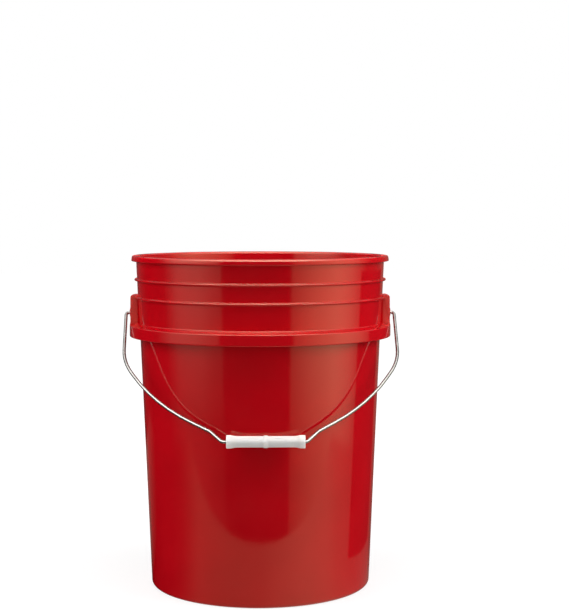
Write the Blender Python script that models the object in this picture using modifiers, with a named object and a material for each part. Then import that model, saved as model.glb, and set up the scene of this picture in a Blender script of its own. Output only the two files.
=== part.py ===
"""Open-top plastic fermenting bucket with a swinging wire handle and a roller grip.

Metres, +Z up, with the origin at the centre of the circle that the foot stands on. The handle hinges
about the X axis and hangs at the front, on the -Y side, where its grip rests against the wall.
"""

import math

import bmesh
import bpy
from mathutils import Matrix, Vector

# Pail: one moulding, drafted so that pails nest. Radii come down from the rim.
PAIL_HEIGHT = 0.388
RIM_RADIUS = 0.15125
RIM_OVERHANG = 0.0055
RIM_DEPTH = 0.0063
RIM_ROUND = 0.003
RIM_INNER_ROUND = 0.0012
WALL_THICKNESS = 0.0022
WALL_DRAFT = math.radians(2.4)
NECK_STEP = 0.0007
FLOOR_THICKNESS = 0.0028
FLOOR_ROUND = 0.006
FOOT_RECESS = 0.004
FOOT_WIDTH = 0.006
FOOT_ROUND = 0.0045

# Two stiffening ribs round the neck, placed by their drop below the rim.
UPPER_RIB_DROP = 0.028
LOWER_RIB_DROP = 0.049
RIB_PROJECTION = 0.0031
RIB_THICKNESS = 0.0024
RIB_ROUND = 0.0008

# Skirt: a ring below the ribs that hangs clear of the wall, with webs across the channel behind it.
SKIRT_DROP = 0.0786
SKIRT_PROJECTION = 0.011
SKIRT_FALL = 0.0027
SKIRT_DEPTH = 0.0128
SKIRT_THICKNESS = 0.0024
SKIRT_ROUND = 0.0006
WEBS_PER_SIDE = 13
WEB_THICKNESS = 0.0018
WEB_SET_UP = 0.0015

# Ears: hollow pockets at both ends of the hinge axis, open below, each with a boss round the wire.
HINGE_DROP = 0.0675
EAR_TOP_DROP = 0.0465
EAR_WIDTH = 0.036
EAR_PLATE = 0.0024
EAR_SET_BACK = 0.0007
EAR_LEAN = math.radians(0.4)
POCKET_GAP = 0.0004
BOSS_RADIUS = 0.009
BOSS_TIP_RADIUS = 0.0041
BOSS_HEIGHT = 0.001

# Bail: one bent wire. Its legs run outside the skirt, and its cranked middle carries the grip.
WIRE_RADIUS = 0.0019
HOLE_CLEARANCE = 0.0004
HEAD_PROJECTION = 0.0013
HEAD_THICKNESS = 0.002
HEAD_GAP = 0.0007
ELBOW_GAP = 0.0003
LEG_CLEARANCE = 0.0026
LEG_TOE_IN = 0.0007
RIM_PASS = 0.0101
SHOULDER_BEND = 0.069
SKIRT_PASS = 0.0412
SWEEP_INSET = 0.0388
SWEEP_RISE = 0.0526
SWEEP_BEND = 0.205
HANG_SIDE_SET = 0.001
CRANK_RISE = 0.0144
CRANK_RUN = 0.013
CRANK_BEND = 0.012
CRANK_END_BEND = 0.005
CRANK_SIDE_SET = 0.0044

# Grip: a plastic roller, free to turn on the straight middle of the wire and to slide a little.
GRIP_LENGTH = 0.0862
GRIP_RADIUS = 0.00615
GRIP_BORE_CLEARANCE = 0.0004
GRIP_PLAY = 0.0034
GRIP_SLIDE = 0.0014
FLANGE_PROJECTION = 0.0011
FLANGE_WIDTH = 0.0055
FLANGE_ROUND = 0.0009
FLARE_LENGTH = 0.0042
FLARE_ROUND = 0.02
BAND_PROJECTION = 0.0007
BAND_WIDTH = 0.0039
BAND_TAPER = 0.0008
REST_GAP = 0.0004

# How finely round shapes are cut into flats.
PAIL_STEPS = 72
GRIP_STEPS = 28
HOLE_STEPS = 20
WIRE_RESOLUTION = 4
CURVE_TOLERANCE = 0.00012
MERGE = 0.00001

RED = (0.48, 0.006, 0.008, 1.0)
ZINC = (0.62, 0.62, 0.6, 1.0)
WHITE = (0.82, 0.82, 0.8, 1.0)

rim_foot = PAIL_HEIGHT - RIM_DEPTH
floor_top = FOOT_RECESS + FLOOR_THICKNESS
skirt_top = PAIL_HEIGHT - SKIRT_DROP
skirt_edge = skirt_top - SKIRT_FALL
skirt_foot = skirt_edge - SKIRT_DEPTH
hinge_height = PAIL_HEIGHT - HINGE_DROP
ear_top = PAIL_HEIGHT - EAR_TOP_DROP


def neck_radius(height):
    """Outside of the wall above the skirt."""
    return RIM_RADIUS - RIM_OVERHANG - (PAIL_HEIGHT - height) * math.tan(WALL_DRAFT)


def wall_radius(height):
    """Outside of the wall below the skirt."""
    return neck_radius(height) - NECK_STEP


skirt_radius = neck_radius(skirt_top) + SKIRT_PROJECTION


def ear_face(height):
    """Outside of an ear, which leans in towards its top."""
    return skirt_radius - EAR_SET_BACK - (height - skirt_edge) * math.tan(EAR_LEAN)


boss_tip = ear_face(hinge_height) + BOSS_HEIGHT
leg_offset = skirt_radius + LEG_CLEARANCE + WIRE_RADIUS
bail_reach = skirt_radius + SKIRT_PASS


def hang_angle():
    """Angle of the hanging bail from straight down, where the grip's band meets the drafted wall."""
    band = GRIP_RADIUS + BAND_PROJECTION + REST_GAP
    offset = wall_radius(hinge_height) * math.cos(WALL_DRAFT) + band
    return math.asin(offset / bail_reach) - WALL_DRAFT


def clear_scene():
    for leftover in list(bpy.data.objects):
        bpy.data.objects.remove(leftover, do_unlink=True)


def new_collection(name):
    made = bpy.data.collections.new(name)
    bpy.context.scene.collection.children.link(made)
    return made


def new_material(name, colour, roughness, metallic):
    material = bpy.data.materials.new(name)
    material.use_nodes = True
    shader = material.node_tree.nodes["Principled BSDF"]
    shader.inputs["Base Color"].default_value = colour
    shader.inputs["Roughness"].default_value = roughness
    shader.inputs["Metallic"].default_value = metallic
    material.diffuse_color = colour
    return material


def place(name, data, collection):
    piece = bpy.data.objects.new(name, data)
    collection.objects.link(piece)
    return piece


def place_shape(name, shape, collection):
    """A finished bmesh as an object, with flat faces kept crisp and round ones smooth."""
    mesh = bpy.data.meshes.new(name)
    shape.to_mesh(mesh)
    shape.free()
    mesh.shade_smooth()
    mesh.set_sharp_from_angle(angle=math.radians(35.0))
    return place(name, mesh, collection)


def as_cutter(piece):
    piece.hide_render = True
    piece.display_type = "WIRE"
    return piece


def combine(piece, operation, other):
    step = piece.modifiers.new(other.name, "BOOLEAN")
    step.operation = operation
    step.solver = "EXACT"
    step.object = other


def rounded(corners):
    """Points along straight runs that meet in arcs. A corner is (x, y, radius of its arc)."""
    places = [Vector(corner[:2]) for corner in corners]
    trims = [0.0] * len(corners)
    turns = [0.0] * len(corners)
    for i in range(1, len(corners) - 1):
        arriving = places[i] - places[i - 1]
        leaving = places[i + 1] - places[i]
        turns[i] = arriving.angle(leaving)
        trims[i] = corners[i][2] * math.tan(turns[i] / 2)
    for i in range(1, len(corners)):
        spare = (places[i] - places[i - 1]).length
        wanted = trims[i - 1] + trims[i]
        if wanted > spare:
            trims[i - 1] *= spare / wanted
            trims[i] *= spare / wanted
    points = []
    for i, corner in enumerate(places):
        if trims[i] < MERGE:
            points.append(corner)
            continue
        arriving = (corner - places[i - 1]).normalized()
        leaving = (places[i + 1] - corner).normalized()
        radius = trims[i] / math.tan(turns[i] / 2)
        inward = (leaving - arriving).normalized()
        centre = corner + inward * radius / math.cos(turns[i] / 2)
        spoke = corner - arriving * trims[i] - centre
        way = math.copysign(1.0, arriving.cross(leaving))
        flat = 2 * math.acos(max(0.0, 1 - CURVE_TOLERANCE / radius))
        count = max(1, math.ceil(turns[i] / flat))
        for j in range(count + 1):
            points.append(centre + Matrix.Rotation(way * turns[i] * j / count, 2) @ spoke)
    return points


def turned(name, outline, steps, collection, closed=False):
    """An outline of (radius, height) points spun about Z. It runs down its outer side."""
    shape = bmesh.new()
    corners = [shape.verts.new((point[0], 0.0, point[1])) for point in outline]
    for first, second in zip(corners, corners[1:]):
        shape.edges.new((first, second))
    if closed:
        shape.edges.new((corners[-1], corners[0]))
    piece = place_shape(name, shape, collection)
    spin = piece.modifiers.new("spin", "SCREW")
    spin.steps = steps
    spin.render_steps = steps
    spin.use_merge_vertices = True
    spin.merge_threshold = MERGE
    spin.use_smooth_shade = True
    return piece


def rib_corners(drop):
    """A neck rib, from the wall out to its rounded edge and back to the wall."""
    top = PAIL_HEIGHT - drop + RIB_THICKNESS / 2
    bottom = top - RIB_THICKNESS
    edge = neck_radius(PAIL_HEIGHT - drop) + RIB_PROJECTION
    return [
        (neck_radius(top), top, 0.0),
        (edge, top, RIB_ROUND),
        (edge, bottom, RIB_ROUND),
        (neck_radius(bottom), bottom, 0.0),
    ]


def pail_outline():
    """Half section of the pail, from the middle of its floor over the rim to the middle of its base."""
    channel = skirt_radius - SKIRT_THICKNESS
    roof = skirt_top - SKIRT_THICKNESS
    foot_inside = wall_radius(0.0) - FOOT_ROUND - FOOT_WIDTH
    inside = [
        (0.0, floor_top, 0.0),
        (wall_radius(floor_top) - WALL_THICKNESS, floor_top, FLOOR_ROUND),
        (wall_radius(skirt_foot) - WALL_THICKNESS, skirt_foot, 0.0),
        (neck_radius(skirt_top) - WALL_THICKNESS, skirt_top, 0.0),
        (neck_radius(PAIL_HEIGHT) - WALL_THICKNESS, PAIL_HEIGHT, RIM_INNER_ROUND),
    ]
    rim = [
        (RIM_RADIUS, PAIL_HEIGHT, RIM_ROUND),
        (RIM_RADIUS, rim_foot, RIM_ROUND),
        (neck_radius(rim_foot), rim_foot, 0.0),
    ]
    ribs = rib_corners(UPPER_RIB_DROP) + rib_corners(LOWER_RIB_DROP)
    skirt = [
        (neck_radius(skirt_top), skirt_top, 0.0),
        (skirt_radius, skirt_edge, SKIRT_ROUND),
        (skirt_radius, skirt_foot, 0.0),
        (channel, skirt_foot, 0.0),
        (channel, skirt_edge - SKIRT_THICKNESS, 0.0),
        (wall_radius(roof), roof, 0.0),
    ]
    base = [
        (wall_radius(0.0), 0.0, FOOT_ROUND),
        (foot_inside, 0.0, 0.0),
        (foot_inside - FOOT_RECESS, FOOT_RECESS, 0.0),
        (0.0, FOOT_RECESS, 0.0),
    ]
    return rounded(inside + rim + ribs + skirt + base)


def crossbar(name, width, collection):
    """A bar along X through the whole pail, which keeps the two ends of a turned ring."""
    shape = bmesh.new()
    size = Vector((4 * skirt_radius, width, 2 * PAIL_HEIGHT))
    bmesh.ops.create_cube(shape, size=1.0, matrix=Matrix.Diagonal(size).to_4x4())
    return as_cutter(place_shape(name, shape, collection))


def make_ears(collection):
    """Both ears as solid blocks: a turned ring from the wall out to the ear's face, cut to width."""
    skirt_middle = skirt_radius - SKIRT_THICKNESS / 2
    foot = skirt_foot + WEB_SET_UP
    buried = WALL_THICKNESS / 2
    outline = [
        (neck_radius(ear_top) - buried, ear_top),
        (ear_face(ear_top), ear_top),
        (ear_face(skirt_edge), skirt_edge),
        (skirt_middle, skirt_edge - SKIRT_ROUND),
        (skirt_middle, foot),
        (wall_radius(foot) - buried, foot),
    ]
    ears = as_cutter(turned("ears", outline, PAIL_STEPS, collection, closed=True))
    combine(ears, "INTERSECT", crossbar("ear_width", EAR_WIDTH, collection))
    return ears


def make_ear_pockets(collection):
    """The hollows of both ears, open at the bottom into the channel behind the skirt."""
    top = ear_top - EAR_PLATE
    below = skirt_foot - SKIRT_DEPTH
    channel = skirt_radius - SKIRT_THICKNESS - POCKET_GAP
    outline = [
        (neck_radius(top) + POCKET_GAP, top),
        (ear_face(top) - EAR_PLATE, top),
        (ear_face(skirt_edge) - EAR_PLATE, skirt_edge),
        (channel, skirt_edge - SKIRT_THICKNESS),
        (channel, below),
        (neck_radius(below) + POCKET_GAP, below),
    ]
    pockets = as_cutter(turned("ear_pockets", outline, PAIL_STEPS, collection, closed=True))
    inside = EAR_WIDTH - 2 * EAR_PLATE
    combine(pockets, "INTERSECT", crossbar("pocket_width", inside, collection))
    return pockets


def along_hinge(name, inner, outer, inner_radius, outer_radius, collection):
    """A cone on the hinge axis at each side of the pail, between two distances from its middle."""
    shape = bmesh.new()
    for side in (1.0, -1.0):
        turn = Matrix.Rotation(side * math.pi / 2, 4, "Y")
        middle = Matrix.Translation((side * (inner + outer) / 2, 0.0, hinge_height))
        bmesh.ops.create_cone(
            shape,
            cap_ends=True,
            segments=HOLE_STEPS,
            radius1=inner_radius,
            radius2=outer_radius,
            depth=outer - inner,
            matrix=middle @ turn,
        )
    return as_cutter(place_shape(name, shape, collection))


def make_webs(collection):
    """Thin radial plates that tie the skirt to the wall, spread evenly between the ears."""
    inner_foot = skirt_foot + WEB_SET_UP
    inner_top = skirt_top - SKIRT_THICKNESS / 2
    outer_top = skirt_edge - SKIRT_THICKNESS / 2
    outer = skirt_radius - SKIRT_THICKNESS / 2
    buried = WALL_THICKNESS / 2
    ear_angle = math.asin(EAR_WIDTH / 2 / (skirt_radius - SKIRT_THICKNESS))
    step = (math.pi - 2 * ear_angle) / (WEBS_PER_SIDE + 1)
    shape = bmesh.new()
    for side in (0.0, math.pi):
        for i in range(1, WEBS_PER_SIDE + 1):
            plate = bmesh.ops.create_cube(shape, size=1.0)["verts"]
            for corner in plate:
                outside = corner.co.x > 0
                above = corner.co.z > 0
                top = outer_top if outside else inner_top
                height = top if above else inner_foot
                radius = outer if outside else wall_radius(height) - buried
                corner.co = (radius, corner.co.y * WEB_THICKNESS, height)
            turn = Matrix.Rotation(side + ear_angle + i * step, 4, "Z")
            bmesh.ops.transform(shape, matrix=turn, verts=plate)
    return as_cutter(place_shape("webs", shape, collection))


def make_pail(parts, cutters):
    pail = turned("pail", pail_outline(), PAIL_STEPS, parts)
    face = ear_face(hinge_height)
    hole = WIRE_RADIUS + HOLE_CLEARANCE
    inside = face - 2 * EAR_PLATE
    bosses = along_hinge("bosses", face - EAR_PLATE / 2, boss_tip, BOSS_RADIUS, BOSS_TIP_RADIUS, cutters)
    holes = along_hinge("hinge_holes", inside, leg_offset, hole, hole, cutters)
    combine(pail, "UNION", make_ears(cutters))
    combine(pail, "UNION", make_webs(cutters))
    combine(pail, "UNION", bosses)
    combine(pail, "DIFFERENCE", make_ear_pockets(cutters))
    combine(pail, "DIFFERENCE", holes)
    pail.data.materials.append(new_material("red_polyethylene", RED, 0.22, 0.0))
    return pail


def straight_half():
    """Half the straight run of wire that the grip turns on."""
    return GRIP_LENGTH / 2 + GRIP_PLAY


def bail_side(side):
    """Bends of the wire from the ear on one side to the middle: across, distance from the hinge, bend."""
    elbow_start = boss_tip + ELBOW_GAP
    shoulder = HINGE_DROP + RIM_PASS
    crank_start = straight_half() + CRANK_RUN
    return [
        (side * leg_offset, 0.0, leg_offset - elbow_start),
        (side * (leg_offset - LEG_TOE_IN) + HANG_SIDE_SET, shoulder, SHOULDER_BEND),
        (side * (leg_offset - SWEEP_INSET) + HANG_SIDE_SET, bail_reach - SWEEP_RISE, SWEEP_BEND),
        (side * crank_start + CRANK_SIDE_SET, bail_reach - CRANK_RISE, CRANK_BEND),
        (side * straight_half() + CRANK_SIDE_SET, bail_reach, CRANK_END_BEND),
    ]


def make_bail(hinge, parts):
    """The wire, drawn hanging straight down from its hinge, with a flattened head on each end."""
    head_face = ear_face(hinge_height) - EAR_PLATE - HEAD_GAP
    head_end = head_face - HEAD_THICKNESS
    corners = [(-head_face, 0.0, 0.0)] + bail_side(-1.0) + bail_side(1.0)[::-1] + [(head_face, 0.0, 0.0)]
    path = rounded(corners)
    head = (WIRE_RADIUS + HEAD_PROJECTION) / WIRE_RADIUS
    neck = head_face + HEAD_GAP / 2
    ends = [(head_end, head), (head_face, head), (neck, 1.0)]
    points = [(-x, 0.0, thick) for x, thick in ends]
    points += [(point.x, point.y, 1.0) for point in path[1:-1]]
    points += [(x, 0.0, thick) for x, thick in reversed(ends)]
    wire = bpy.data.curves.new("bail", "CURVE")
    wire.dimensions = "3D"
    wire.bevel_depth = WIRE_RADIUS
    wire.bevel_resolution = WIRE_RESOLUTION
    wire.use_fill_caps = True
    run = wire.splines.new("POLY")
    run.points.add(len(points) - 1)
    for point, (across, down, thick) in zip(run.points, points):
        point.co = (across, 0.0, -down, 1.0)
        point.radius = thick
    bail = place("bail", wire, parts)
    bail.parent = hinge
    wire.materials.append(new_material("zinc_plated_wire", ZINC, 0.3, 1.0))
    return bail


def make_grip(axle, parts):
    """The roller, turned about its own axis: a tube with flared end flanges and a middle band."""
    bore = WIRE_RADIUS + GRIP_BORE_CLEARANCE
    flange = GRIP_RADIUS + FLANGE_PROJECTION
    band = GRIP_RADIUS + BAND_PROJECTION
    end = GRIP_LENGTH / 2
    shoulder = end - FLANGE_WIDTH
    upper = [
        (bore, end, 0.0),
        (flange, end, FLANGE_ROUND),
        (flange, shoulder, FLANGE_ROUND),
        (GRIP_RADIUS, shoulder - FLARE_LENGTH, FLARE_ROUND),
        (GRIP_RADIUS, BAND_WIDTH / 2 + BAND_TAPER, 0.0),
        (band, BAND_WIDTH / 2, 0.0),
    ]
    lower = [(radius, -along, bend) for radius, along, bend in reversed(upper)]
    grip = turned("grip", rounded(upper + lower), GRIP_STEPS, parts, closed=True)
    grip.parent = axle
    grip.data.materials.append(new_material("white_polypropylene", WHITE, 0.35, 0.0))
    return grip


def new_axis(name, location, rotation, collection, parent=None):
    axis = place(name, None, collection)
    axis.empty_display_size = GRIP_RADIUS
    axis.location = location
    axis.rotation_euler = rotation
    axis.parent = parent
    return axis


clear_scene()
bucket = new_collection("fermenting_bucket")
cutter_set = new_collection("cutters")
bail_axis = new_axis("bail_axis", (0.0, 0.0, hinge_height), (-hang_angle(), 0.0, 0.0), bucket)
grip_place = (CRANK_SIDE_SET + GRIP_SLIDE, 0.0, -bail_reach)
grip_axis = new_axis("grip_axis", grip_place, (0.0, math.pi / 2, 0.0), bucket, bail_axis)
make_pail(bucket, cutter_set)
make_bail(bail_axis, bucket)
make_grip(grip_axis, bucket)
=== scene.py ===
"""Looks of an open-top plastic fermenting bucket: a red pail, its wire bail and a white roller grip.

Metres, +Z up, origin at the centre of the foot circle. The bail hinges about X and hangs to the
front, -Y.
"""

import math

import bmesh
import bpy
from bmesh.types import BMEdge, BMVert
from mathutils import Matrix, Vector


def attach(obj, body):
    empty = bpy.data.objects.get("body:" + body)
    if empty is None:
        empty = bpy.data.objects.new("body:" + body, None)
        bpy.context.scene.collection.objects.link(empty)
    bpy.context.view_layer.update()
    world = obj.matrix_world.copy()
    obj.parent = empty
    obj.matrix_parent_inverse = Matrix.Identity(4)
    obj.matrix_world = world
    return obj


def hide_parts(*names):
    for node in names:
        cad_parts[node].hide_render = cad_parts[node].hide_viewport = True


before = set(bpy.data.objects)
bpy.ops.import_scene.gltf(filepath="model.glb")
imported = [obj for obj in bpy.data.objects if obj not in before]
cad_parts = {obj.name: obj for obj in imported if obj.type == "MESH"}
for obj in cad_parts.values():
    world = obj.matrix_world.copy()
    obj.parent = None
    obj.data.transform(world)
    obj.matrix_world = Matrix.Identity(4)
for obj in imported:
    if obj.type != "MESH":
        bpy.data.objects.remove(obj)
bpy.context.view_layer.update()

# Pail: one injection moulding in glossy red polyethylene, spun from its half section. Between the ears
# an open channel runs behind the skirt, crossed by thin webs; at the ears the section bulges into a
# hollow pocket that takes the end of the wire. The wall is drafted so that pails nest.
PAIL_HEIGHT = 0.388
RIM_RADIUS = 0.15125
RIM_OVERHANG = 0.0055
RIM_DEPTH = 0.0063
RIM_LEAN = 0.0006
RIM_SLOPE_INSET = 0.00145
RIM_SLOPE_DEPTH = 0.0017
RIM_ROUND = 0.0009
RIM_FOOT_ROUND = 0.001
RIM_INNER_ROUND = 0.0025
WALL_THICKNESS = 0.0022
WALL_DRAFT = math.radians(2.4)
NECK_STEP = 0.0007
STEP_ROUND = 0.006
FLOOR_TOP = 0.0068
FLOOR_ROUND = 0.006
FOOT_ROUND = 0.0045
FOOT_WIDTH = 0.006
FOOT_RECESS = 0.004
BASE_RING_RADIUS = 0.075
BASE_RING_HALF = 0.0009
BASE_RING_DEPTH = 0.0008
GATE_PAD_RADIUS = 0.006
GATE_PAD_DEPTH = 0.0012
GATE_STUB_RADIUS = 0.0016
GATE_STUB_DEPTH = 0.0021
UPPER_RIB_DROP = 0.028
LOWER_RIB_DROP = 0.049
RIB_PROJECTION = 0.0031
RIB_THICKNESS = 0.0024
RIB_ROUND = 0.0011
ROOT_ROUND = 0.0006
SKIRT_DROP = 0.0786
SKIRT_PROJECTION = 0.011
SKIRT_FALL = 0.0027
SKIRT_DEPTH = 0.0128
SKIRT_THICKNESS = 0.0024
SKIRT_ROUND = 0.0006
SKIRT_EDGE_ROUND = 0.0009
WEBS_PER_SIDE = 13
WEB_THICKNESS = 0.0018
WEB_SET_UP = 0.0015
HINGE_DROP = 0.0675
EAR_TOP_DROP = 0.0465
EAR_WIDTH = 0.036
EAR_PLATE = 0.0024
EAR_SET_BACK = 0.0007
EAR_LEAN = math.radians(0.4)
EAR_TOP_ROUND = 0.0026
EAR_EDGE_ROUND = 0.0008
EAR_FLARE = 0.003
EAR_FLARE_ROUND = 0.0016
BOSS_RADIUS = 0.009
BOSS_TIP_RADIUS = 0.0041
BOSS_HEIGHT = 0.001
BOSS_ROOT_ROUND = 0.0008
BOSS_TIP_ROUND = 0.0005
BOSS_ROUND_STEPS = 4
HOLE_RADIUS = 0.0023
HOLE_STEPS = 40
STEPS_BETWEEN_WEBS = 9
STEPS_IN_EAR = 12
# Rounds up to FINE_ROUND take fewer steps. A straight over LONG_RUN gets an edge SUPPORT from each end.
FINE_ROUND = 0.0012
FINE_STEPS = 3
ROUND_STEPS = 6
LONG_RUN = 0.004
SUPPORT = 0.0008
WELD = 0.00001
CREASE = math.radians(38.0)
FULL_TURN = 2 * math.pi

skirt_top = PAIL_HEIGHT - SKIRT_DROP
skirt_edge = skirt_top - SKIRT_FALL
skirt_foot = skirt_edge - SKIRT_DEPTH
web_foot = skirt_foot + WEB_SET_UP
hinge_height = PAIL_HEIGHT - HINGE_DROP
ear_top = PAIL_HEIGHT - EAR_TOP_DROP


def neck_radius(height):
    """Outside of the wall above the skirt."""
    return RIM_RADIUS - RIM_OVERHANG - (PAIL_HEIGHT - height) * math.tan(WALL_DRAFT)


def wall_radius(height):
    """Outside of the wall below the skirt."""
    return neck_radius(height) - NECK_STEP


skirt_radius = neck_radius(skirt_top) + SKIRT_PROJECTION


def ear_face(height):
    """Outside of an ear, which leans in towards its top."""
    return skirt_radius - EAR_SET_BACK - (height - skirt_edge) * math.tan(EAR_LEAN)


def rounded_chain(corners, fine_steps=FINE_STEPS):
    """A chain of edges through (radius, height, reach) corners, each rounded as far as its reach."""
    shape = bmesh.new()
    chain = [shape.verts.new((radius, 0.0, height)) for radius, height, reach in corners]
    for first, second in zip(chain, chain[1:]):
        shape.edges.new((first, second))
    for corner, (radius, height, reach) in zip(chain, corners):
        if reach:
            bmesh.ops.bevel(
                shape, geom=[corner], offset=reach, offset_type="OFFSET", profile_type="SUPERELLIPSE",
                segments=ROUND_STEPS if reach > FINE_ROUND else fine_steps, profile=0.5,
                affect="VERTICES", material=-1,
            )
    return shape


def section(corners):
    """A rounded chain whose long straights have an extra edge close to each end."""
    shape = rounded_chain(corners)
    for run in [edge for edge in shape.edges if edge.calc_length() > LONG_RUN]:
        length = run.calc_length()
        start, end = run.verts
        other = bmesh.utils.edge_split(run, start, SUPPORT / length)[0]
        far = run if end in run.verts else other
        bmesh.utils.edge_split(far, end, SUPPORT / (length - SUPPORT))
    return shape


def spin_round(shape, sweep, steps):
    """Spins a chain about Z from where it stands, and joins it to itself after a full turn."""
    bmesh.ops.spin(
        shape, geom=shape.verts[:] + shape.edges[:], cent=(0.0, 0.0, 0.0), axis=(0.0, 0.0, 1.0),
        angle=sweep, steps=steps, use_merge=sweep == FULL_TURN,
    )


def as_mesh(name, shape):
    """A finished bmesh as mesh data, with flat faces kept crisp and round ones smooth."""
    mesh = bpy.data.meshes.new(name)
    shape.to_mesh(mesh)
    shape.free()
    mesh.shade_smooth()
    mesh.set_sharp_from_angle(angle=CREASE)
    return mesh


def as_piece(name, content):
    """An object at the origin with the given mesh, lamp or lens in it."""
    piece = bpy.data.objects.new(name, content)
    bpy.context.scene.collection.objects.link(piece)
    return piece


def rib(drop):
    """Top of a neck rib, from the wall out to its edge, and its underside back to the wall."""
    top = PAIL_HEIGHT - drop + RIB_THICKNESS / 2
    bottom = top - RIB_THICKNESS
    edge = neck_radius(PAIL_HEIGHT - drop) + RIB_PROJECTION
    upper = [(neck_radius(top), top, ROOT_ROUND), (edge, top, RIB_ROUND)]
    lower = [(edge, bottom, RIB_ROUND), (neck_radius(bottom), bottom, ROOT_ROUND)]
    return upper, lower


channel = skirt_radius - SKIRT_THICKNESS
roof = skirt_top - SKIRT_THICKNESS
pocket_top = ear_top - EAR_PLATE
foot_inside = wall_radius(0.0) - FOOT_ROUND - FOOT_WIDTH
upper_rib = rib(UPPER_RIB_DROP)
lower_rib = rib(LOWER_RIB_DROP)
ear_root = (neck_radius(ear_top), ear_top, 0.0)

from_floor_to_ear = [
    (0.0, FLOOR_TOP, 0.0),
    (wall_radius(FLOOR_TOP) - WALL_THICKNESS, FLOOR_TOP, FLOOR_ROUND),
    (wall_radius(skirt_foot) - WALL_THICKNESS, skirt_foot, STEP_ROUND),
    (neck_radius(skirt_top) - WALL_THICKNESS, skirt_top, STEP_ROUND),
    (neck_radius(PAIL_HEIGHT) - WALL_THICKNESS, PAIL_HEIGHT, RIM_INNER_ROUND),
    (RIM_RADIUS - RIM_SLOPE_INSET, PAIL_HEIGHT, RIM_ROUND),
    (RIM_RADIUS - RIM_LEAN, PAIL_HEIGHT - RIM_SLOPE_DEPTH, RIM_ROUND),
    (RIM_RADIUS, PAIL_HEIGHT - RIM_DEPTH, RIM_FOOT_ROUND),
    (neck_radius(PAIL_HEIGHT - RIM_DEPTH), PAIL_HEIGHT - RIM_DEPTH, ROOT_ROUND),
] + upper_rib[0] + upper_rib[1] + [ear_root]
down_the_neck = lower_rib[0] + lower_rib[1] + [
    (neck_radius(skirt_top), skirt_top, ROOT_ROUND),
    (skirt_radius, skirt_edge, SKIRT_ROUND),
]
down_the_ear = [
    (ear_face(ear_top), ear_top, EAR_TOP_ROUND),
    (ear_face(skirt_edge + EAR_FLARE), skirt_edge + EAR_FLARE, EAR_FLARE_ROUND),
    (skirt_radius, skirt_edge - SKIRT_ROUND, 0.0),
]
round_the_skirt = [
    (skirt_radius, skirt_foot, SKIRT_EDGE_ROUND),
    (channel, skirt_foot, SKIRT_EDGE_ROUND),
    (channel, web_foot, 0.0),
]
up_the_channel = [
    (channel, skirt_edge - SKIRT_THICKNESS, ROOT_ROUND),
    (wall_radius(roof), roof, ROOT_ROUND),
]
up_the_pocket = [
    (channel, skirt_edge - SKIRT_THICKNESS, 0.0),
    (ear_face(skirt_edge) - EAR_PLATE, skirt_edge, 0.0),
    (ear_face(pocket_top) - EAR_PLATE, pocket_top, ROOT_ROUND),
    (neck_radius(pocket_top), pocket_top, ROOT_ROUND),
    (neck_radius(skirt_top), skirt_top, 0.0),
    (wall_radius(roof), roof, 0.0),
]
to_the_base = [
    (wall_radius(web_foot), web_foot, 0.0),
    (wall_radius(0.0), 0.0, FOOT_ROUND),
    (foot_inside, 0.0, ROOT_ROUND),
    (foot_inside - FOOT_RECESS, FOOT_RECESS, ROOT_ROUND),
    (BASE_RING_RADIUS + 2 * BASE_RING_HALF, FOOT_RECESS, 0.0),
    (BASE_RING_RADIUS + BASE_RING_HALF, FOOT_RECESS - BASE_RING_DEPTH, 0.0),
    (BASE_RING_RADIUS - BASE_RING_HALF, FOOT_RECESS - BASE_RING_DEPTH, 0.0),
    (BASE_RING_RADIUS - 2 * BASE_RING_HALF, FOOT_RECESS, 0.0),
    (GATE_PAD_RADIUS, FOOT_RECESS, 0.0),
    (GATE_PAD_RADIUS, FOOT_RECESS - GATE_PAD_DEPTH, ROOT_ROUND),
    (GATE_STUB_RADIUS, FOOT_RECESS - GATE_PAD_DEPTH, 0.0),
    (GATE_STUB_RADIUS, FOOT_RECESS - GATE_STUB_DEPTH, 0.0),
    (0.0, FOOT_RECESS - GATE_STUB_DEPTH, 0.0),
]
open_section = from_floor_to_ear + down_the_neck + round_the_skirt + up_the_channel + to_the_base
web_section = from_floor_to_ear + down_the_neck + round_the_skirt + to_the_base
plate_section = from_floor_to_ear + down_the_ear + round_the_skirt + to_the_base
pocket_section = from_floor_to_ear + down_the_ear + round_the_skirt + up_the_pocket + to_the_base


def spun_sector(corners, sweep, steps):
    """One wedge of the pail, spun from +X towards +Y."""
    shape = section(corners)
    spin_round(shape, sweep, steps)
    mesh = bpy.data.meshes.new("sector")
    shape.to_mesh(mesh)
    shape.free()
    return mesh


ear_angle = math.asin(EAR_WIDTH / 2 / (skirt_radius - SKIRT_THICKNESS))
plate_angle = EAR_PLATE / skirt_radius
web_angle = WEB_THICKNESS / skirt_radius
gap_angle = (math.pi - 2 * ear_angle - WEBS_PER_SIDE * web_angle) / (WEBS_PER_SIDE + 1)
pocket_angle = 2 * (ear_angle - plate_angle)
pocket_wedge = (spun_sector(pocket_section, pocket_angle, STEPS_IN_EAR), pocket_angle)
plate_wedge = (spun_sector(plate_section, plate_angle, 1), plate_angle)
open_wedge = (spun_sector(open_section, gap_angle, STEPS_BETWEEN_WEBS), gap_angle)
web_wedge = (spun_sector(web_section, web_angle, 1), web_angle)
half_round = [pocket_wedge, plate_wedge]
half_round += [open_wedge, web_wedge] * WEBS_PER_SIDE
half_round += [open_wedge, plate_wedge]

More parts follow.
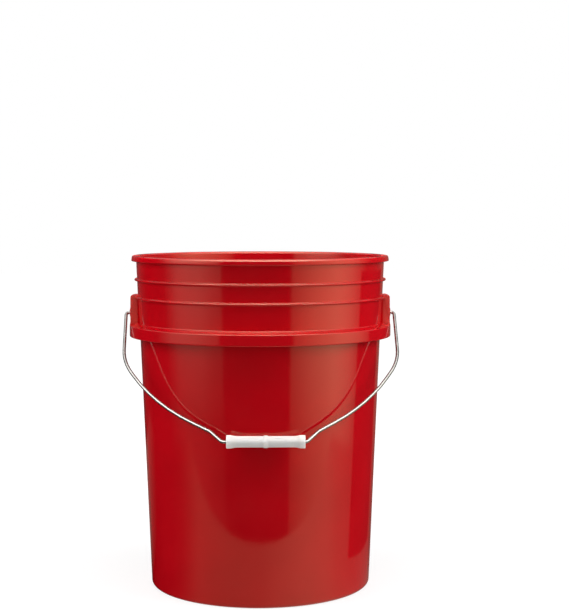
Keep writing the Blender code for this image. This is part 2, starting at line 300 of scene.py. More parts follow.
shell = bmesh.new()
turn = -pocket_angle / 2
for wedge, sweep in half_round * 2:
    count = len(shell.verts)
    shell.from_mesh(wedge)
    shell.verts.ensure_lookup_table()
    bmesh.ops.rotate(
        shell, cent=(0.0, 0.0, 0.0), matrix=Matrix.Rotation(turn, 3, "Z"), verts=shell.verts[count:]
    )
    turn += sweep
bmesh.ops.remove_doubles(shell, verts=shell.verts, dist=WELD)
bmesh.ops.holes_fill(shell, edges=[edge for edge in shell.edges if edge.is_boundary], sides=0)
bmesh.ops.recalc_face_normals(shell, faces=shell.faces)


def on_ear_corner(vertex):
    """Whether a point lies on the outer corner of an ear, where its front meets one of its sides."""
    lean = abs(math.atan2(abs(vertex.co.y), abs(vertex.co.x)) - ear_angle)
    outside = vertex.co.xy.length > ear_root[0] + WELD
    return lean < WELD and outside and skirt_edge < vertex.co.z < ear_top + WELD


ear_corners = [edge for edge in shell.edges if all(on_ear_corner(vertex) for vertex in edge.verts)]
bmesh.ops.bevel(
    shell, geom=ear_corners, offset=EAR_EDGE_ROUND, offset_type="OFFSET", profile_type="SUPERELLIPSE",
    segments=FINE_STEPS, profile=0.5, affect="EDGES", material=-1, loop_slide=True, clamp_overlap=True,
)
pail = as_piece("pail_moulding", as_mesh("pail_moulding", shell))


def on_hinge(name, corners):
    """A shape turned about the hinge axis at both ears.

    Its corners are (radius, distance from the middle of the pail, reach).
    """
    shape = bmesh.new()
    for side in (0.0, math.pi):
        outline = rounded_chain(corners, BOSS_ROUND_STEPS)
        spin_round(outline, FULL_TURN, HOLE_STEPS)
        bmesh.ops.remove_doubles(outline, verts=outline.verts, dist=WELD)
        bmesh.ops.recalc_face_normals(outline, faces=outline.faces)
        to_hinge = Matrix.Translation((0.0, 0.0, hinge_height))
        swing = Matrix.Rotation(side, 4, "Z") @ Matrix.Rotation(math.pi / 2, 4, "Y")
        bmesh.ops.transform(outline, matrix=to_hinge @ swing, verts=outline.verts)
        half = bpy.data.meshes.new("half")
        outline.to_mesh(half)
        outline.free()
        shape.from_mesh(half)
    return as_piece(name, as_mesh(name, shape))


boss_tip = ear_face(hinge_height) + BOSS_HEIGHT
boss_root = ear_face(hinge_height) - EAR_PLATE / 2
bosses = on_hinge("bosses", [
    (0.0, boss_root, 0.0),
    (BOSS_RADIUS, boss_root, 0.0),
    ((BOSS_RADIUS + BOSS_TIP_RADIUS) / 2, ear_face(hinge_height), BOSS_ROOT_ROUND),
    (BOSS_TIP_RADIUS, boss_tip, BOSS_TIP_ROUND),
    (0.0, boss_tip, 0.0),
])
holes = on_hinge("holes", [
    (0.0, boss_root - EAR_PLATE, 0.0),
    (HOLE_RADIUS, boss_root - EAR_PLATE, 0.0),
    (HOLE_RADIUS, boss_tip + EAR_PLATE, 0.0),
    (0.0, boss_tip + EAR_PLATE, 0.0),
])
for operation, other in (("UNION", bosses), ("DIFFERENCE", holes)):
    step = pail.modifiers.new(other.name, "BOOLEAN")
    step.operation = operation
    step.solver = "EXACT"
    step.object = other
finished = bpy.data.meshes.new_from_object(pail.evaluated_get(bpy.context.evaluated_depsgraph_get()))
pail.modifiers.clear()
pail.data = finished
finished.name = "pail_moulding"
finished.shade_smooth()
finished.set_sharp_from_angle(angle=CREASE)
for cutter in (bosses, holes):
    bpy.data.objects.remove(cutter)


def add_node(material, kind, **settings):
    """A node of a material. Plain settings are its properties, and `inputs` its socket values."""
    node = material.node_tree.nodes.new(kind)
    for name, value in settings.pop("inputs", {}).items():
        node.inputs[name].default_value = value
    for name, value in settings.items():
        setattr(node, name, value)
    return node


def join(material, *pairs):
    """Links each pair of sockets, an output to an input."""
    for out_socket, in_socket in pairs:
        material.node_tree.links.new(out_socket, in_socket)


def ranged(material, span, target, **settings):
    """A node that takes a value's span to a target span."""
    limits = {"From Min": span[0], "From Max": span[1], "To Min": target[0], "To Max": target[1]}
    return add_node(material, "ShaderNodeMapRange", inputs=limits, **settings)


def two_tones(material, span, deep, bright):
    """A ramp from a deep colour to a bright one over a span of a pattern's value."""
    node = add_node(material, "ShaderNodeValToRGB")
    for stop, position, colour in zip(node.color_ramp.elements, span, (deep, bright)):
        stop.position = position
        stop.color = colour
    return node


def new_finish(name):
    """A new material and its main shader."""
    material = bpy.data.materials.new(name)
    material.use_nodes = True
    return material, material.node_tree.nodes["Principled BSDF"]


RED_DEEP = (0.46, 0.0014, 0.0060, 1.0)
RED_BRIGHT = (0.51, 0.0018, 0.0070, 1.0)
RED_CLOUDS = {"Scale": 14.0, "Detail": 3.0, "Roughness": 0.5}
RED_CLOUD_SPAN = (0.35, 0.68)
RED_IOR = 1.54
RED_GLOSS_TINT = (1.0, 0.97, 0.68, 1.0)
RED_SMEARS = {"Scale": 32.0, "Detail": 4.0, "Roughness": 0.6}
RED_SMEAR_SPAN = (0.3, 0.75)
RED_ROUGHNESS = (0.07, 0.13)
EAR_DULLING = 0.36
EAR_DULL_EDGE = 0.0008
DRAG_STRETCH = (420.0, 420.0, 5.0)
DRAG_MARKS = {"Scale": 1.0, "Detail": 2.0}
PEEL = {"Scale": 420.0, "Detail": 2.0}
SKIN_RELIEF = {"Strength": 0.05, "Distance": 0.0002}

red, shader = new_finish("red_polyethylene")
shader.inputs["IOR"].default_value = RED_IOR
shader.inputs["Specular Tint"].default_value = RED_GLOSS_TINT
place = add_node(red, "ShaderNodeTexCoord")
clouds = add_node(red, "ShaderNodeTexNoise", inputs=RED_CLOUDS)
tint = two_tones(red, RED_CLOUD_SPAN, RED_DEEP, RED_BRIGHT)
smears = add_node(red, "ShaderNodeTexNoise", inputs=RED_SMEARS)
gloss = ranged(red, RED_SMEAR_SPAN, RED_ROUGHNESS)
# The outer faces of the ears are duller than the wall, and are found by their place on the pail.
parts = add_node(red, "ShaderNodeSeparateXYZ")
across = add_node(red, "ShaderNodeMath", operation="ABSOLUTE")
aside = add_node(red, "ShaderNodeMath", operation="ABSOLUTE")
ear_side = EAR_WIDTH / 2 + EAR_DULL_EDGE
beyond_neck = ranged(red, (ear_root[0] - EAR_DULL_EDGE, ear_root[0]), (0.0, 1.0))
between_sides = ranged(red, (ear_side, ear_side + EAR_DULL_EDGE), (EAR_DULLING, 0.0))
above_skirt = ranged(red, (skirt_edge, skirt_edge + EAR_FLARE), (0.0, 1.0))
on_ear_face = add_node(red, "ShaderNodeMath", operation="MULTIPLY")
dulled = add_node(red, "ShaderNodeMath", operation="MULTIPLY_ADD")
drag_map = add_node(red, "ShaderNodeMapping", inputs={"Scale": DRAG_STRETCH})
drag = add_node(red, "ShaderNodeTexNoise", inputs=DRAG_MARKS)
peel = add_node(red, "ShaderNodeTexNoise", inputs=PEEL)
drag_bump = add_node(red, "ShaderNodeBump", inputs=SKIN_RELIEF)
peel_bump = add_node(red, "ShaderNodeBump", inputs=SKIN_RELIEF)
join(
    red,
    (place.outputs["Object"], clouds.inputs["Vector"]),
    (clouds.outputs["Fac"], tint.inputs["Fac"]),
    (tint.outputs["Color"], shader.inputs["Base Color"]),
    (place.outputs["Object"], smears.inputs["Vector"]),
    (smears.outputs["Fac"], gloss.inputs["Value"]),
    (place.outputs["Object"], parts.inputs[0]),
    (parts.outputs["X"], across.inputs[0]),
    (parts.outputs["Y"], aside.inputs[0]),
    (across.outputs[0], beyond_neck.inputs["Value"]),
    (aside.outputs[0], between_sides.inputs["Value"]),
    (parts.outputs["Z"], above_skirt.inputs["Value"]),
    (beyond_neck.outputs["Result"], on_ear_face.inputs[0]),
    (above_skirt.outputs["Result"], on_ear_face.inputs[1]),
    (on_ear_face.outputs[0], dulled.inputs[0]),
    (between_sides.outputs["Result"], dulled.inputs[1]),
    (gloss.outputs["Result"], dulled.inputs[2]),
    (dulled.outputs[0], shader.inputs["Roughness"]),
    (place.outputs["Object"], drag_map.inputs["Vector"]),
    (drag_map.outputs["Vector"], drag.inputs["Vector"]),
    (drag.outputs["Fac"], drag_bump.inputs["Height"]),
    (place.outputs["Object"], peel.inputs["Vector"]),
    (peel.outputs["Fac"], peel_bump.inputs["Height"]),
    (drag_bump.outputs["Normal"], peel_bump.inputs["Normal"]),
    (peel_bump.outputs["Normal"], shader.inputs["Normal"]),
)
pail.data.materials.clear()
pail.data.materials.append(red)
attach(pail, "pail")
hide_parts("pail")

# Bail: one length of zinc-plated spring-steel wire, bent cold. Its ends pass through the ears and are
# upset into flat heads inside the pockets. Its legs run outside the skirt, and a crank at each side of
# the grip sets the straight middle further from the hinge.
WIRE_RADIUS = 0.00189
WIRE_SEGMENTS = 20
HEAD_PROJECTION = 0.0013
HEAD_THICKNESS = 0.002
HEAD_GAP = 0.0007
HEAD_ROUND = 0.0005
ELBOW_GAP = 0.0003
LEG_CLEARANCE = 0.0026
LEG_TOE_IN = 0.0007
RIM_PASS = 0.0101
SHOULDER_BEND = 0.069
SKIRT_PASS = 0.0412
SWEEP_INSET = 0.0388
SWEEP_RISE = 0.0526
SWEEP_BEND = 0.205
HANG_SIDE_SET = 0.001
CRANK_RISE = 0.0144
CRANK_RUN = 0.013
CRANK_BEND = 0.012
CRANK_END_BEND = 0.005
CRANK_SIDE_SET = 0.0044
GRIP_LENGTH = 0.0862
GRIP_PLAY = 0.0034
GRIP_RADIUS = 0.00615
BAND_PROJECTION = 0.0007
REST_GAP = 0.0004
BEND_STEP = math.radians(5.0)

leg_offset = skirt_radius + LEG_CLEARANCE + WIRE_RADIUS
bail_reach = skirt_radius + SKIRT_PASS
straight_half = GRIP_LENGTH / 2 + GRIP_PLAY
grip_stand_off = (
    wall_radius(hinge_height) * math.cos(WALL_DRAFT) + GRIP_RADIUS + BAND_PROJECTION + REST_GAP
)
hang_angle = math.asin(grip_stand_off / bail_reach) - WALL_DRAFT
hang = Matrix.Translation((0.0, 0.0, hinge_height)) @ Matrix.Rotation(-hang_angle, 4, "X")
head_face = ear_face(hinge_height) - EAR_PLATE - HEAD_GAP


def bail_side(side):
    """Bends from the ear on one side to the middle: across, distance from the hinge, bend radius."""
    return [
        (side * leg_offset, 0.0, leg_offset - boss_tip - ELBOW_GAP),
        (side * (leg_offset - LEG_TOE_IN) + HANG_SIDE_SET, HINGE_DROP + RIM_PASS, SHOULDER_BEND),
        (side * (leg_offset - SWEEP_INSET) + HANG_SIDE_SET, bail_reach - SWEEP_RISE, SWEEP_BEND),
        (side * (straight_half + CRANK_RUN) + CRANK_SIDE_SET, bail_reach - CRANK_RISE, CRANK_BEND),
        (side * straight_half + CRANK_SIDE_SET, bail_reach, CRANK_END_BEND),
    ]


bends = bail_side(-1.0) + bail_side(1.0)[::-1]
corners = [Vector((across, 0.0, -down)) for across, down, bend in bends]
corners = [Vector((-head_face, 0.0, 0.0))] + corners + [Vector((head_face, 0.0, 0.0))]
radii = [0.0] + [bend for across, down, bend in bends] + [0.0]
turns = [0.0] * len(corners)
trims = [0.0] * len(corners)
for i in range(1, len(corners) - 1):
    turns[i] = (corners[i] - corners[i - 1]).angle(corners[i + 1] - corners[i])
    trims[i] = radii[i] * math.tan(turns[i] / 2)
for i in range(1, len(corners)):
    spare = (corners[i] - corners[i - 1]).length
    wanted = trims[i - 1] + trims[i]
    if wanted > spare:
        trims[i - 1] *= spare / wanted
        trims[i] *= spare / wanted

wire = bmesh.new()
to_x = Matrix.Rotation(math.pi / 2, 4, "Y")
tip = bmesh.ops.create_circle(wire, segments=WIRE_SEGMENTS, radius=WIRE_RADIUS, matrix=to_x)["verts"]
bmesh.ops.translate(wire, verts=tip, vec=corners[0])
ring = wire.edges[:]


def only(kind, geometry):
    """The elements of one kind out of what an operator made."""
    return [element for element in geometry if isinstance(element, kind)]


def pushed(edges, along):
    """Carries the wire's open end forward by a straight run, and gives the new end."""
    grown = bmesh.ops.extrude_edge_only(wire, edges=edges)["geom"]
    bmesh.ops.translate(wire, verts=only(BMVert, grown), vec=along)
    return [edge for edge in only(BMEdge, grown) if edge.is_boundary]


for i in range(1, len(corners)):
    before = (corners[i] - corners[i - 1]).normalized()
    run = (corners[i] - corners[i - 1]).length - trims[i - 1] - trims[i]
    if run > WELD:
        ring = pushed(ring, before * run)
    if trims[i] < WELD:
        continue
    after = (corners[i + 1] - corners[i]).normalized()
    bend_radius = trims[i] / math.tan(turns[i] / 2)
    inward = (after - before).normalized()
    centre = corners[i] + inward * bend_radius / math.cos(turns[i] / 2)
    bent = bmesh.ops.spin(
        wire, geom=ring, cent=centre, axis=before.cross(after).normalized(), angle=turns[i],
        steps=max(2, math.ceil(turns[i] / BEND_STEP)),
    )
    ring = only(BMEdge, bent["geom_last"])

first_ring = dict.fromkeys(edge for vertex in tip for edge in vertex.link_edges if edge.is_boundary)
head_growth = 1.0 + HEAD_PROJECTION / WIRE_RADIUS
head_steps = ((HEAD_ROUND, head_growth), (HEAD_THICKNESS - HEAD_ROUND, 1.0))
for head, direction in ((list(first_ring), 1.0), (ring, -1.0)):
    for depth, growth in head_steps:
        head = pushed(head, Vector((direction * depth, 0.0, 0.0)))
        rim = list(dict.fromkeys(vertex for edge in head for vertex in edge.verts))
        middle = sum((vertex.co for vertex in rim), Vector()) / len(rim)
        bmesh.ops.scale(wire, vec=(1.0, growth, growth), space=Matrix.Translation(-middle), verts=rim)
    bmesh.ops.edgeloop_fill(wire, edges=head)
bmesh.ops.remove_doubles(wire, verts=wire.verts, dist=WELD)
bmesh.ops.recalc_face_normals(wire, faces=wire.faces)
bmesh.ops.transform(wire, matrix=hang, verts=wire.verts)
bail = as_piece("bail_wire", as_mesh("bail_wire", wire))

ZINC_DEEP = (0.25, 0.241, 0.228, 1.0)
ZINC_BRIGHT = (0.34, 0.328, 0.31, 1.0)
ZINC_BLOOM = {"Scale": 160.0, "Detail": 4.0, "Roughness": 0.6}
ZINC_BLOOM_SPAN = (0.3, 0.7)
ZINC_ROUGHNESS = (0.22, 0.32)
ZINC_PITS = {"Scale": 1800.0, "Detail": 2.0}
ZINC_RELIEF = {"Strength": 0.12, "Distance": 0.0001}

zinc, shader = new_finish("zinc_plated_wire")
shader.inputs["Metallic"].default_value = 1.0
place = add_node(zinc, "ShaderNodeTexCoord")
bloom = add_node(zinc, "ShaderNodeTexNoise", inputs=ZINC_BLOOM)
tone = two_tones(zinc, ZINC_BLOOM_SPAN, ZINC_DEEP, ZINC_BRIGHT)
dull = ranged(zinc, ZINC_BLOOM_SPAN, ZINC_ROUGHNESS)
pits = add_node(zinc, "ShaderNodeTexNoise", inputs=ZINC_PITS)
pit_bump = add_node(zinc, "ShaderNodeBump", inputs=ZINC_RELIEF)
join(
    zinc,
    (place.outputs["Object"], bloom.inputs["Vector"]),
    (bloom.outputs["Fac"], tone.inputs["Fac"]),
    (tone.outputs["Color"], shader.inputs["Base Color"]),
    (bloom.outputs["Fac"], dull.inputs["Value"]),
    (dull.outputs["Result"], shader.inputs["Roughness"]),
    (place.outputs["Object"], pits.inputs["Vector"]),
    (pits.outputs["Fac"], pit_bump.inputs["Height"]),
    (pit_bump.outputs["Normal"], shader.inputs["Normal"]),
)
bail.data.materials.append(zinc)
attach(bail, "bail")
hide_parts("bail")

# Grip: a white polypropylene roller, moulded as a thick tube over the straight of the wire, free to
# turn on it. Each end swells in a soft flare to a flange, and a low band rings the middle.
GRIP_BORE_CLEARANCE = 0.0004
GRIP_SLIDE = 0.0014
FLANGE_PROJECTION = 0.0011
FLANGE_WIDTH = 0.0055
FLANGE_ROUND = 0.0009
FLARE_LENGTH = 0.0042
FLARE_ROUND = 0.0026
BAND_WIDTH = 0.0039
BAND_TAPER = 0.0008
BAND_ROUND = 0.0006
BORE_CHAMFER = 0.0004
GRIP_STEPS = 48

bore = WIRE_RADIUS + GRIP_BORE_CLEARANCE
flange = GRIP_RADIUS + FLANGE_PROJECTION
band = GRIP_RADIUS + BAND_PROJECTION
end = GRIP_LENGTH / 2
shoulder = end - FLANGE_WIDTH
half_outline = [
    (bore, end, BORE_CHAMFER),
    (flange, end, FLANGE_ROUND),
    (flange, shoulder, FLANGE_ROUND),
    (GRIP_RADIUS, shoulder - FLARE_LENGTH, FLARE_ROUND),
    (GRIP_RADIUS, BAND_WIDTH / 2 + BAND_TAPER, BAND_ROUND / 2),
    (band, BAND_WIDTH / 2, BAND_ROUND),
]
other_half = [(radius, -along, reach) for radius, along, reach in reversed(half_outline)]
bore_middle = [(bore, 0.0, 0.0)]
roller = section(bore_middle + half_outline + other_half + bore_middle)
spin_round(roller, FULL_TURN, GRIP_STEPS)
bmesh.ops.remove_doubles(roller, verts=roller.verts, dist=WELD)
bmesh.ops.recalc_face_normals(roller, faces=roller.faces)
on_wire = Matrix.Translation((CRANK_SIDE_SET + GRIP_SLIDE, 0.0, -bail_reach)) @ to_x
bmesh.ops.transform(roller, matrix=hang @ on_wire, verts=roller.verts)
grip = as_piece("grip_roller", as_mesh("grip_roller", roller))

WHITE_DEEP = (0.71, 0.70, 0.668, 1.0)
WHITE_BRIGHT = (0.77, 0.76, 0.725, 1.0)
WHITE_HAZE = {"Scale": 90.0, "Detail": 4.0, "Roughness": 0.55}
WHITE_HAZE_SPAN = (0.3, 0.7)
WHITE_ROUGHNESS = (0.42, 0.56)
WHITE_SPECULAR = 0.2
WHITE_SCATTER_RADIUS = (1.0, 0.94, 0.86)
WHITE_SCATTER_SCALE = 0.012
WHITE_GRAIN = {"Scale": 1400.0, "Detail": 2.0}
WHITE_RELIEF = {"Strength": 0.1, "Distance": 0.0001}

white, shader = new_finish("white_polypropylene")
shader.inputs["Specular IOR Level"].default_value = WHITE_SPECULAR
shader.inputs["Subsurface Weight"].default_value = 1.0
shader.inputs["Subsurface Radius"].default_value = WHITE_SCATTER_RADIUS
shader.inputs["Subsurface Scale"].default_value = WHITE_SCATTER_SCALE
place = add_node(white, "ShaderNodeTexCoord")
haze = add_node(white, "ShaderNodeTexNoise", inputs=WHITE_HAZE)
shade = two_tones(white, WHITE_HAZE_SPAN, WHITE_DEEP, WHITE_BRIGHT)
sheen = ranged(white, WHITE_HAZE_SPAN, WHITE_ROUGHNESS)
grain = add_node(white, "ShaderNodeTexNoise", inputs=WHITE_GRAIN)
grain_bump = add_node(white, "ShaderNodeBump", inputs=WHITE_RELIEF)
join(
    white,
    (place.outputs["Object"], haze.inputs["Vector"]),
    (haze.outputs["Fac"], shade.inputs["Fac"]),
    (shade.outputs["Color"], shader.inputs["Base Color"]),
    (haze.outputs["Fac"], sheen.inputs["Value"]),
    (sheen.outputs["Result"], shader.inputs["Roughness"]),
    (place.outputs["Object"], grain.inputs["Vector"]),
    (grain.outputs["Fac"], grain_bump.inputs["Height"]),
    (grain_bump.outputs["Normal"], shader.inputs["Normal"]),
)
grip.data.materials.append(white)
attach(grip, "grip")
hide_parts("grip")

# Floor and surround: a plain pale floor that runs into a white studio. What the eye sees of it is
# white, with the bucket's soft shadow kept. It throws an even glow up at the bucket, and stays open to
# a camera that looks up from below.
FLOOR_HALF = 8.0
FLOOR_BOUNCE = 0.66
FLOOR_SEEN_PAINT = 0.2
FLOOR_SEEN_GLOW = (0.8, 1.0)
SHADOW_REACH = (0.25, 0.75)
AMBIENT = 0.1

ground = bmesh.new()
bmesh.ops.create_grid(ground, x_segments=1, y_segments=1, size=FLOOR_HALF)
floor = as_piece("floor", as_mesh("floor", ground))
floor.visible_glossy = False


def seen_directly(material):
    """A socket that is 1 for camera, mirrored and refracted rays, and 0 for rays that carry light."""
    path = add_node(material, "ShaderNodeLightPath")
    first = add_node(material, "ShaderNodeMath", operation="ADD")
    both = add_node(material, "ShaderNodeMath", operation="ADD", use_clamp=True)
    join(
        material,
        (path.outputs["Is Camera Ray"], first.inputs[0]),
        (path.outputs["Is Glossy Ray"], first.inputs[1]),
        (first.outputs[0], both.inputs[0]),
        (path.outputs["Is Transmission Ray"], both.inputs[1]),
    )
    return both.outputs[0]


def grey(value):
    """A neutral colour."""
    return (value, value, value, 1.0)


pale = bpy.data.materials.new("pale_floor")
pale.use_nodes = True
pale.node_tree.nodes.clear()
lit = add_node(pale, "ShaderNodeEmission", inputs={"Strength": FLOOR_BOUNCE})
soft = add_node(pale, "ShaderNodeBsdfDiffuse", inputs={"Color": grey(FLOOR_SEEN_PAINT)})
glow = add_node(pale, "ShaderNodeEmission")
place = add_node(pale, "ShaderNodeTexCoord")
reach = add_node(pale, "ShaderNodeVectorMath", operation="LENGTH")
far = ranged(pale, SHADOW_REACH, FLOOR_SEEN_GLOW, interpolation_type="SMOOTHSTEP")
both = add_node(pale, "ShaderNodeAddShader")
pick = add_node(pale, "ShaderNodeMixShader")
side = add_node(pale, "ShaderNodeNewGeometry")
clear = add_node(pale, "ShaderNodeBsdfTransparent")
open_below = add_node(pale, "ShaderNodeMixShader")
surface = add_node(pale, "ShaderNodeOutputMaterial")
join(
    pale,
    (place.outputs["Object"], reach.inputs[0]),
    (reach.outputs["Value"], far.inputs["Value"]),
    (far.outputs["Result"], glow.inputs["Strength"]),
    (soft.outputs[0], both.inputs[0]),
    (glow.outputs[0], both.inputs[1]),
    (seen_directly(pale), pick.inputs[0]),
    (lit.outputs[0], pick.inputs[1]),
    (both.outputs[0], pick.inputs[2]),
    (side.outputs["Backfacing"], open_below.inputs[0]),
    (pick.outputs[0], open_below.inputs[1]),
    (clear.outputs[0], open_below.inputs[2]),
    (open_below.outputs[0], surface.inputs["Surface"]),
)
floor.data.materials.append(pale)

world = bpy.data.worlds.new("white_studio")
world.use_nodes = True
bpy.context.scene.world = world
sky = world.node_tree.nodes["Background"]
sky.inputs["Color"].default_value = grey(1.0)
level = ranged(world, (0.0, 1.0), (AMBIENT, 1.0))
join(
    world,
    (seen_directly(world), level.inputs["Value"]),
    (level.outputs["Result"], sky.inputs["Strength"]),
)

# Studio panels and flag: what the gloss of the bucket mirrors. A far round wall in two halves is bright
# at the sides and dark in front, with a ring and a ceiling over it. The table top ends in a straight
# edge, and a dark flag stands close by at the right. Only mirrored rays meet these cards.
SURROUND_RADIUS = 2.4
SURROUND_HEIGHTS = (-1.6, 1.5)
# Tones are (degrees from the front towards the right, glow); fades are (low, high, least share).
LEFT_TONES = [
    (-180, 0.16), (-150, 0.12), (-125, 0.0), (-106, 0.0), (-96, 0.05), (-88, 0.6), (-80, 1.6),
    (-70, 2.1), (-56, 2.2), (-42, 1.3), (-35, 1.0), (-34.5, 0.0), (180, 0.0),
]
RIGHT_TONES = [
    (-180, 0.0), (27, 0.0), (27.5, 0.36), (50, 1.15), (72, 1.65), (81, 1.4), (90, 1.0), (97, 0.6),
    (104, 0.3), (112, 0.05), (130, 0.05), (150, 0.12), (180, 0.16),
]
LEFT_FADE = (-0.33, 1.0, 0.06)
RIGHT_FADE = (-0.40, -0.15, 0.58)
RIGHT_BLUE = 0.8
TABLE_EDGE = -0.36
TABLE_BACK = 0.9
TABLE_HALF = 0.9
TABLE_LIFT = 0.0003
TABLE_TONES = [
    (-180, 0.15), (-150, 0.12), (-125, 0.0), (-96, 0.0), (-84, 0.03), (-76, 0.12), (-64, 0.33),
    (-38, 0.40), (0, 0.43), (13, 0.55), (31, 0.70), (49, 0.83), (69, 0.76), (82, 0.50), (100, 0.25),
    (140, 0.08), (180, 0.15),
]
TABLE_HUB = -0.076
TABLE_BLUE = 0.85
FLAG_FOOT = ((0.25, -0.05), (0.25, 0.165))
FLAG_TOP = 0.36
FLAG_GLOW = 0.02
RING_RADIUS = 2.4
RING_HEIGHTS = (1.5, 3.8)
RING_TONES = [
    (-180, 0.9), (-118, 0.9), (-100, 1.2), (-80, 2.8), (-64, 5.4), (-44, 8.0), (0, 10.2), (42, 9.0),
    (50, 7.2), (64, 4.6), (80, 2.8), (98, 1.5), (112, 1.0), (122, 0.9), (180, 0.9),
]
CEILING_GLOW = 2.2
CARD_STEPS = 96


def mirrored_only(name, shape):
    """A stage card that light and the camera pass through, and only mirrored rays meet."""
    made = as_piece(name, as_mesh(name, shape))
    made.visible_camera = False
    made.visible_diffuse = False
    made.visible_transmission = False
    made.visible_volume_scatter = False
    made.visible_shadow = False
    paint = bpy.data.materials.new(name)
    paint.use_nodes = True
    paint.node_tree.nodes.clear()
    light = add_node(paint, "ShaderNodeEmission", inputs={"Strength": 0.0})
    surface = add_node(paint, "ShaderNodeOutputMaterial")
    join(paint, (light.outputs[0], surface.inputs["Surface"]))
    made.data.materials.append(paint)
    return paint, light


def tone_by_azimuth(paint, light, tones, hub=0.0, fade=(-1.0, 0.0, 1.0), blue=1.0):
    """Gives a card a glow that changes round the bucket, from 0 degrees in front to 90 at the right.

    The glow sinks from its full tone at one height to a least share of it at a lower one.
    """
    brightest = max(tone for degrees, tone in tones)
    where = add_node(paint, "ShaderNodeTexCoord")
    parts = add_node(paint, "ShaderNodeSeparateXYZ")
    front = add_node(paint, "ShaderNodeMath", operation="SUBTRACT", inputs={0: hub})
    angle = add_node(paint, "ShaderNodeMath", operation="ARCTAN2")
    spread = ranged(paint, (-math.pi, math.pi), (0.0, 1.0))
    ramp = add_node(paint, "ShaderNodeValToRGB")
    while len(ramp.color_ramp.elements) < len(tones):
        ramp.color_ramp.elements.new(0.5)
    for stop, (degrees, tone) in zip(ramp.color_ramp.elements, tones):
        stop.position = (degrees + 180.0) / 360.0
        stop.color = (tone / brightest, tone / brightest, blue * tone / brightest, 1.0)
    low, high, least = fade
    sink = ranged(paint, (low, high), (least * brightest, brightest))
    join(
        paint,
        (where.outputs["Object"], parts.inputs[0]),
        (parts.outputs["Z"], sink.inputs["Value"]),
        (sink.outputs["Result"], light.inputs["Strength"]),
        (parts.outputs["Y"], front.inputs[1]),
        (parts.outputs["X"], angle.inputs[0]),
        (front.outputs[0], angle.inputs[1]),
        (angle.outputs[0], spread.inputs["Value"]),
        (spread.outputs["Result"], ramp.inputs["Fac"]),
        (ramp.outputs["Color"], light.inputs["Color"]),
    )


def round_wall(radius, heights, start=0.0, sweep=FULL_TURN):
    """An upright round card about the bucket's axis. It starts at an angle anticlockwise from +X."""
    shape = bmesh.new()
    foot = (radius * math.cos(start), radius * math.sin(start))
    shape.edges.new([shape.verts.new((*foot, height)) for height in heights])
    spin_round(shape, sweep, CARD_STEPS)
    return shape


left_half = round_wall(SURROUND_RADIUS, SURROUND_HEIGHTS, math.pi / 2, math.pi)
right_half = round_wall(SURROUND_RADIUS, SURROUND_HEIGHTS, -math.pi / 2, math.pi)
tone_by_azimuth(*mirrored_only("surround_left", left_half), LEFT_TONES, fade=LEFT_FADE)
tone_by_azimuth(
    *mirrored_only("surround_right", right_half), RIGHT_TONES, fade=RIGHT_FADE, blue=RIGHT_BLUE
)
ring_above = round_wall(RING_RADIUS, RING_HEIGHTS)
tone_by_azimuth(*mirrored_only("ring_above", ring_above), RING_TONES)

ceiling = bmesh.new()
bmesh.ops.create_circle(ceiling, cap_ends=True, segments=CARD_STEPS, radius=RING_RADIUS)
bmesh.ops.translate(ceiling, vec=(0.0, 0.0, RING_HEIGHTS[1]), verts=ceiling.verts)
paint, light = mirrored_only("ceiling", ceiling)
light.inputs["Strength"].default_value = CEILING_GLOW

table = bmesh.new()
bmesh.ops.create_grid(table, x_segments=1, y_segments=1, size=0.5)
bmesh.ops.scale(table, vec=(2 * TABLE_HALF, TABLE_BACK - TABLE_EDGE, 1.0), verts=table.verts)
bmesh.ops.translate(table, vec=(0.0, (TABLE_BACK + TABLE_EDGE) / 2, TABLE_LIFT), verts=table.verts)
tone_by_azimuth(*mirrored_only("table_top", table), TABLE_TONES, TABLE_HUB, blue=TABLE_BLUE)

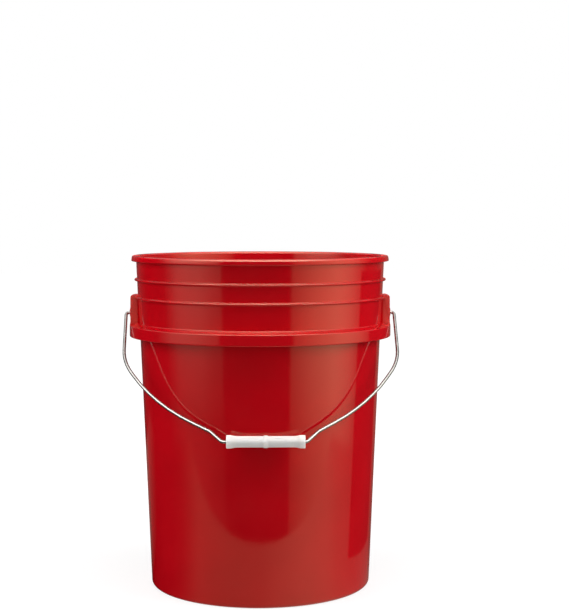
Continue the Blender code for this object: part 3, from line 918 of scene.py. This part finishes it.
flag = bmesh.new()
foot = flag.edges.new([flag.verts.new((x, y, 0.0)) for x, y in FLAG_FOOT])
raised = bmesh.ops.extrude_edge_only(flag, edges=[foot])["geom"]
bmesh.ops.translate(flag, verts=only(BMVert, raised), vec=(0.0, 0.0, FLAG_TOP))
paint, light = mirrored_only("flag_right", flag)
light.inputs["Strength"].default_value = FLAG_GLOW

# Lamps: soft boxes at both sides, overhead, in front and behind, each a flat panel that faces the
# bucket. They light it evenly and stay out of its gloss.


def soft_box(name, place, aim, size, radiance):
    """A rectangular lamp, (width, height) in size, with the same glow per area whatever its size."""
    width, height = size
    lamp = bpy.data.lights.new(name, "AREA")
    lamp.shape = "RECTANGLE"
    lamp.size = width
    lamp.size_y = height
    lamp.energy = math.pi * width * height * radiance
    box = as_piece(name, lamp)
    box.location = place
    box.rotation_euler = (Vector(aim) - Vector(place)).to_track_quat("-Z", "Y").to_euler()
    box.visible_camera = False
    box.visible_glossy = False


soft_box("box_right", place=(1.1, -0.3, 0.85), aim=(0.0, 0.0, 0.3), size=(0.9, 0.9), radiance=5.6)
soft_box("box_left", place=(-1.1, -0.24, 0.95), aim=(0.0, 0.0, 0.3), size=(0.9, 0.9), radiance=4.5)
soft_box("box_above", place=(0.0, -0.3, 1.9), aim=(0.0, 0.0, 0.2), size=(1.2, 0.9), radiance=7.5)
soft_box("box_front", place=(0.0, -2.1, 0.9), aim=(0.0, 0.0, 0.25), size=(1.5, 1.0), radiance=1.0)
soft_box("box_back", place=(0.0, 2.1, 1.1), aim=(0.0, 0.0, 0.25), size=(1.5, 1.0), radiance=2.4)

# Camera: a long lens at the photograph's place, a little above the rim. It looks slightly down, and a
# touch past the bucket's right.
CAMERA_PLACE = (0.0, -1.7167, 0.4446)
CAMERA_DOWN = math.radians(3.870)
CAMERA_RIGHT = math.radians(0.9546)
FOCAL_LENGTH_MM = 85.85
SENSOR_HEIGHT_MM = 36.0

lens = bpy.data.cameras.new("camera")
lens.sensor_fit = "VERTICAL"
lens.sensor_height = SENSOR_HEIGHT_MM
lens.lens = FOCAL_LENGTH_MM
camera = as_piece("camera", lens)
camera.location = CAMERA_PLACE
camera.rotation_euler = (math.pi / 2 - CAMERA_DOWN, 0.0, -CAMERA_RIGHT)
bpy.context.scene.camera = camera
bpy.context.scene.view_settings.view_transform = "Standard"
